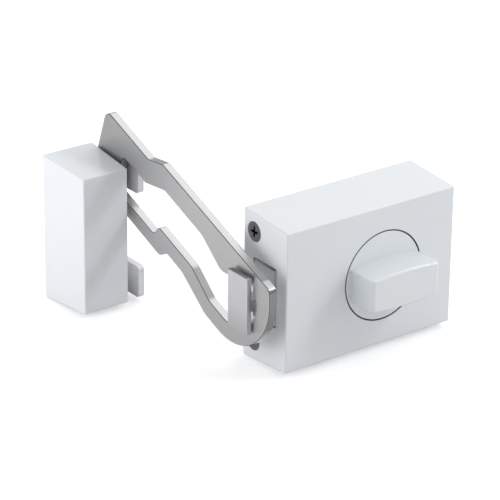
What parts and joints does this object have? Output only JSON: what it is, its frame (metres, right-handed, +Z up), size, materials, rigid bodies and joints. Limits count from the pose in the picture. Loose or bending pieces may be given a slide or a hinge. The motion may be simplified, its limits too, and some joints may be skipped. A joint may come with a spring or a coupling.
{
  "type": "rim lock",
  "caption": "Surface-mounted rim lock with a thumb-turn and a T-headed bolt that catches a slotted swinging bar on its strike, so the door opens only by a gap.",
  "frame": {"origin": "on the spindle's axis, in the plane where the lock case meets the door, at the centre of its four door screws", "axes": "+X along the door away from the strike, +Y into the door, +Z up"},
  "size_m": [0.1481, 0.1638, 0.0989],
  "materials": {
    "white_coat": "smooth satin white powder coat",
    "white_turn": "smooth satin white coat on the cast thumb-turn",
    "dark_screw": "blackened steel with a cross recess",
    "bar_steel": "satin nickel-plated steel, bright rounded edges",
    "bolt_steel": "satin zinc-plated steel",
    "bracket_steel": "light grey passivated steel",
    "inner_steel": "plain zinc-plated steel",
    "spring_steel": "blued spring steel",
    "brass": "turned brass",
    "nylon": "natural nylon"
  },
  "bodies": {
    "lock": {"lock_cover": "white_coat", "lock_base_plate": "inner_steel", "cover_screws": "dark_screw", "front_bridge": "inner_steel", "bridge_pillars": "inner_steel", "bridge_screws": "inner_steel", "front_bush": "brass", "rear_bush": "brass", "bolt_rail": "brass", "rail_rivets": "inner_steel", "rack_guides": "nylon", "guide_screws": "inner_steel", "friction_spring": "spring_steel", "spring_rivet": "inner_steel"},
    "knob": {"thumb_turn": "white_turn", "spindle": "inner_steel", "pinion": "inner_steel", "retaining_clip": "spring_steel", "knob_washer": "nylon"},
    "bolt": {"hook_bolt": "bolt_steel", "rack_plate": "inner_steel", "bolt_rivets": "inner_steel"},
    "strike": {"strike_cover": "white_coat", "strike_bracket": "bracket_steel", "strike_cover_screws": "inner_steel", "pivot_pin": "inner_steel", "pivot_spacer": "nylon", "pivot_washer": "nylon", "pivot_circlip": "spring_steel"},
    "bar": {"restrictor_bar": "bar_steel", "pivot_bush": "brass"}
  },
  "joints": [
    {"name": "knob_turn", "type": "hinge", "parent": "lock", "child": "knob", "pos_m": [0, 0, 0], "axis": [0, 1, 0], "range_deg": [-4, 64]},
    {"name": "bolt_throw", "type": "slide", "parent": "lock", "child": "bolt", "axis": [-1, 0, 0], "range_m": [-0.0005, 0.008]},
    {"name": "door_travel", "type": "slide", "parent": "lock", "child": "strike", "axis": [0, -1, 0], "range_m": [0, 0.04]},
    {"name": "bar_swing", "type": "hinge", "parent": "strike", "child": "bar", "pos_m": [-0.07125, 0.0997, 0.0276], "axis": [1, 0, 0], "range_deg": [0, 2.85]}
  ],
  "couplings": [
    {"joint": "bolt_throw", "follows": "knob_turn", "m_per_rad": 0.007},
    {"joint": "bar_swing", "follows": "door_travel", "rad_per_m": 1.2217}
  ]
}
